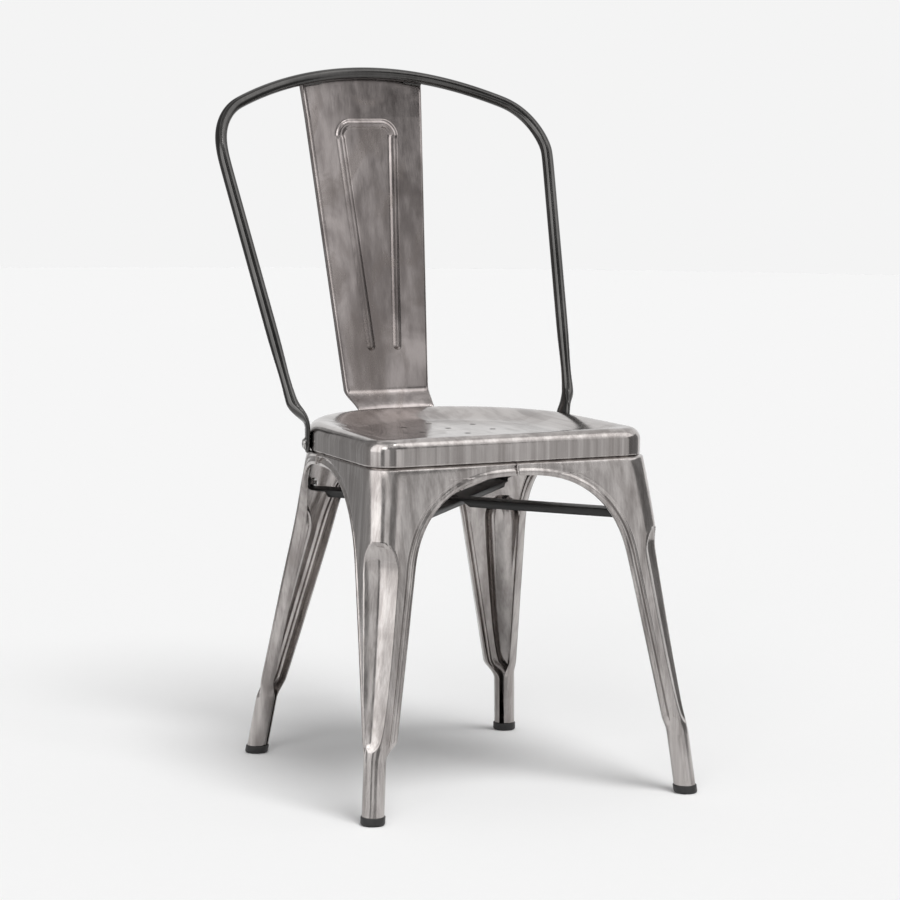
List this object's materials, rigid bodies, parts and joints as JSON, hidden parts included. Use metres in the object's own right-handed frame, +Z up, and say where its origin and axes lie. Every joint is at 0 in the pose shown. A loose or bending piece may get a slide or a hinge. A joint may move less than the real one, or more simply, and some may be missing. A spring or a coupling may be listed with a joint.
{
  "type": "bistro chair",
  "caption": "Stacking bistro chair of pressed sheet steel with dished seat, fluted splayed legs with arched aprons, a bent tube hoop back and a tapered centre splat.",
  "frame": {"origin": "on the floor under the centre of the chair's bounding box", "axes": "+Z up, the sitter faces -Y, +X to the right as seen from the front"},
  "size_m": [0.457, 0.5092, 0.8483],
  "materials": {
    "seat_steel": "clear lacquered raw steel, brushed",
    "leg_steel": "clear lacquered raw steel, brushed",
    "hoop_steel": "dark gunmetal steel, semi gloss",
    "brace_black": "black paint, satin",
    "cap_plastic": "black plastic, satin",
    "fastener_steel": "bright zinc plated steel",
    "weld_steel": "lacquered weld metal"
  },
  "bodies": {
    "root": {"seat_pan": "seat_steel", "leg_front_right": "leg_steel", "leg_front_left": "leg_steel", "leg_rear_right": "leg_steel", "leg_rear_left": "leg_steel", "foot_cap_front_right": "cap_plastic", "foot_cap_front_left": "cap_plastic", "foot_cap_rear_right": "cap_plastic", "foot_cap_rear_left": "cap_plastic", "back_hoop": "hoop_steel", "back_splat": "seat_steel", "brace_bar_upper": "brace_black", "brace_bar_lower": "brace_black", "brace_rivet": "brace_black", "brace_stud_nuts": "fastener_steel", "hoop_bolts": "fastener_steel", "hoop_washers": "fastener_steel", "hoop_nuts": "fastener_steel", "splat_bolts": "fastener_steel", "splat_nuts": "fastener_steel", "apron_welds": "weld_steel", "splat_welds": "weld_steel"}
  },
  "joints": []
}
